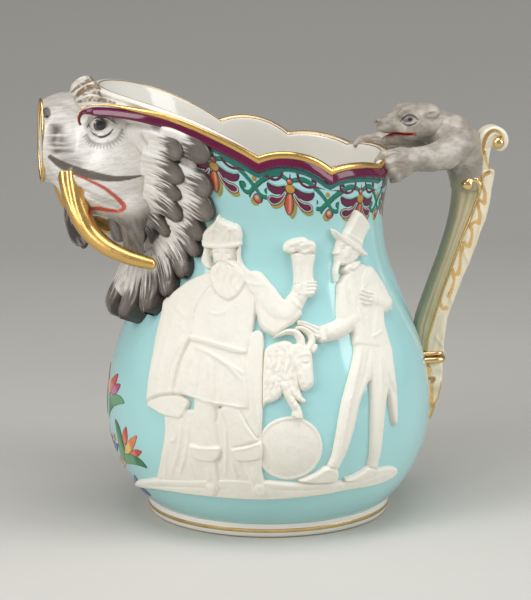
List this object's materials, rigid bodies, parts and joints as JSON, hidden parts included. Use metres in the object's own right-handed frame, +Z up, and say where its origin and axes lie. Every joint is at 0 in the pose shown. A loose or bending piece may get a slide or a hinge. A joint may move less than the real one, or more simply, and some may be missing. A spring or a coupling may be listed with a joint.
{
  "type": "pitcher",
  "caption": "Pear-shaped porcelain beer pitcher with a walrus-head spout and tusks, a bear-and-scroll handle, a scalloped rim and moulded figures round the belly.",
  "frame": {"origin": "centre of the foot, on the plane it stands on", "axes": "+Z up, the spout towards -X and the handle towards +X, the two sides towards -Y and +Y"},
  "size_m": [0.2598, 0.189, 0.2435],
  "materials": {
    "turquoise_glaze": "glossy turquoise ground glaze outside, clear glaze over white inside",
    "white_glaze": "clear glaze over white porcelain",
    "purple_glaze": "glossy purple enamel with a gilt bead",
    "walrus_glaze": "clear glaze over brushed grey and white enamel",
    "bear_glaze": "satin mottled grey enamel",
    "eye_glaze": "glossy black and white enamel",
    "ivory_glaze": "glossy ivory glaze with gilt edges",
    "bisque": "unglazed white bisque, satin",
    "gilding": "burnished gold over glazed porcelain"
  },
  "bodies": {
    "root": {"barrel_left": "bisque", "barrel_right": "bisque", "beaker_left": "bisque", "beaker_right": "bisque", "bear_arm_left": "bear_glaze", "bear_arm_right": "bear_glaze", "bear_ear_left": "bear_glaze", "bear_ear_right": "bear_glaze", "bear_head": "bear_glaze", "bear_trunk": "bear_glaze", "brow_left": "purple_glaze", "brow_right": "purple_glaze", "chin_tuft": "walrus_glaze", "eye_left": "eye_glaze", "eye_right": "eye_glaze", "foot_ring": "white_glaze", "forelock": "white_glaze", "frieze_ground_left": "bisque", "frieze_ground_right": "bisque", "goat_left": "bisque", "goat_right": "bisque", "handle_collar": "gilding", "handle_leaf": "ivory_glaze", "handle_scroll": "ivory_glaze", "handle_shaft": "ivory_glaze", "handle_tail_leaf": "ivory_glaze", "hatted_man_left": "bisque", "hatted_man_right": "bisque", "lower_jaw": "walrus_glaze", "mane_inner_left": "walrus_glaze", "mane_inner_right": "walrus_glaze", "mane_outer_left": "walrus_glaze", "mane_outer_right": "walrus_glaze", "mouth_lip": "gilding", "rim_moulding": "purple_glaze", "robed_man_left": "bisque", "robed_man_right": "bisque", "shaft_boss_left": "gilding", "shaft_boss_right": "gilding", "throat_fringe": "walrus_glaze", "tusk_left": "gilding", "tusk_right": "gilding", "vessel_body": "turquoise_glaze", "volute_boss_left": "gilding", "volute_boss_right": "gilding", "walrus_head": "walrus_glaze", "walrus_muzzle": "walrus_glaze"}
  },
  "joints": []
}
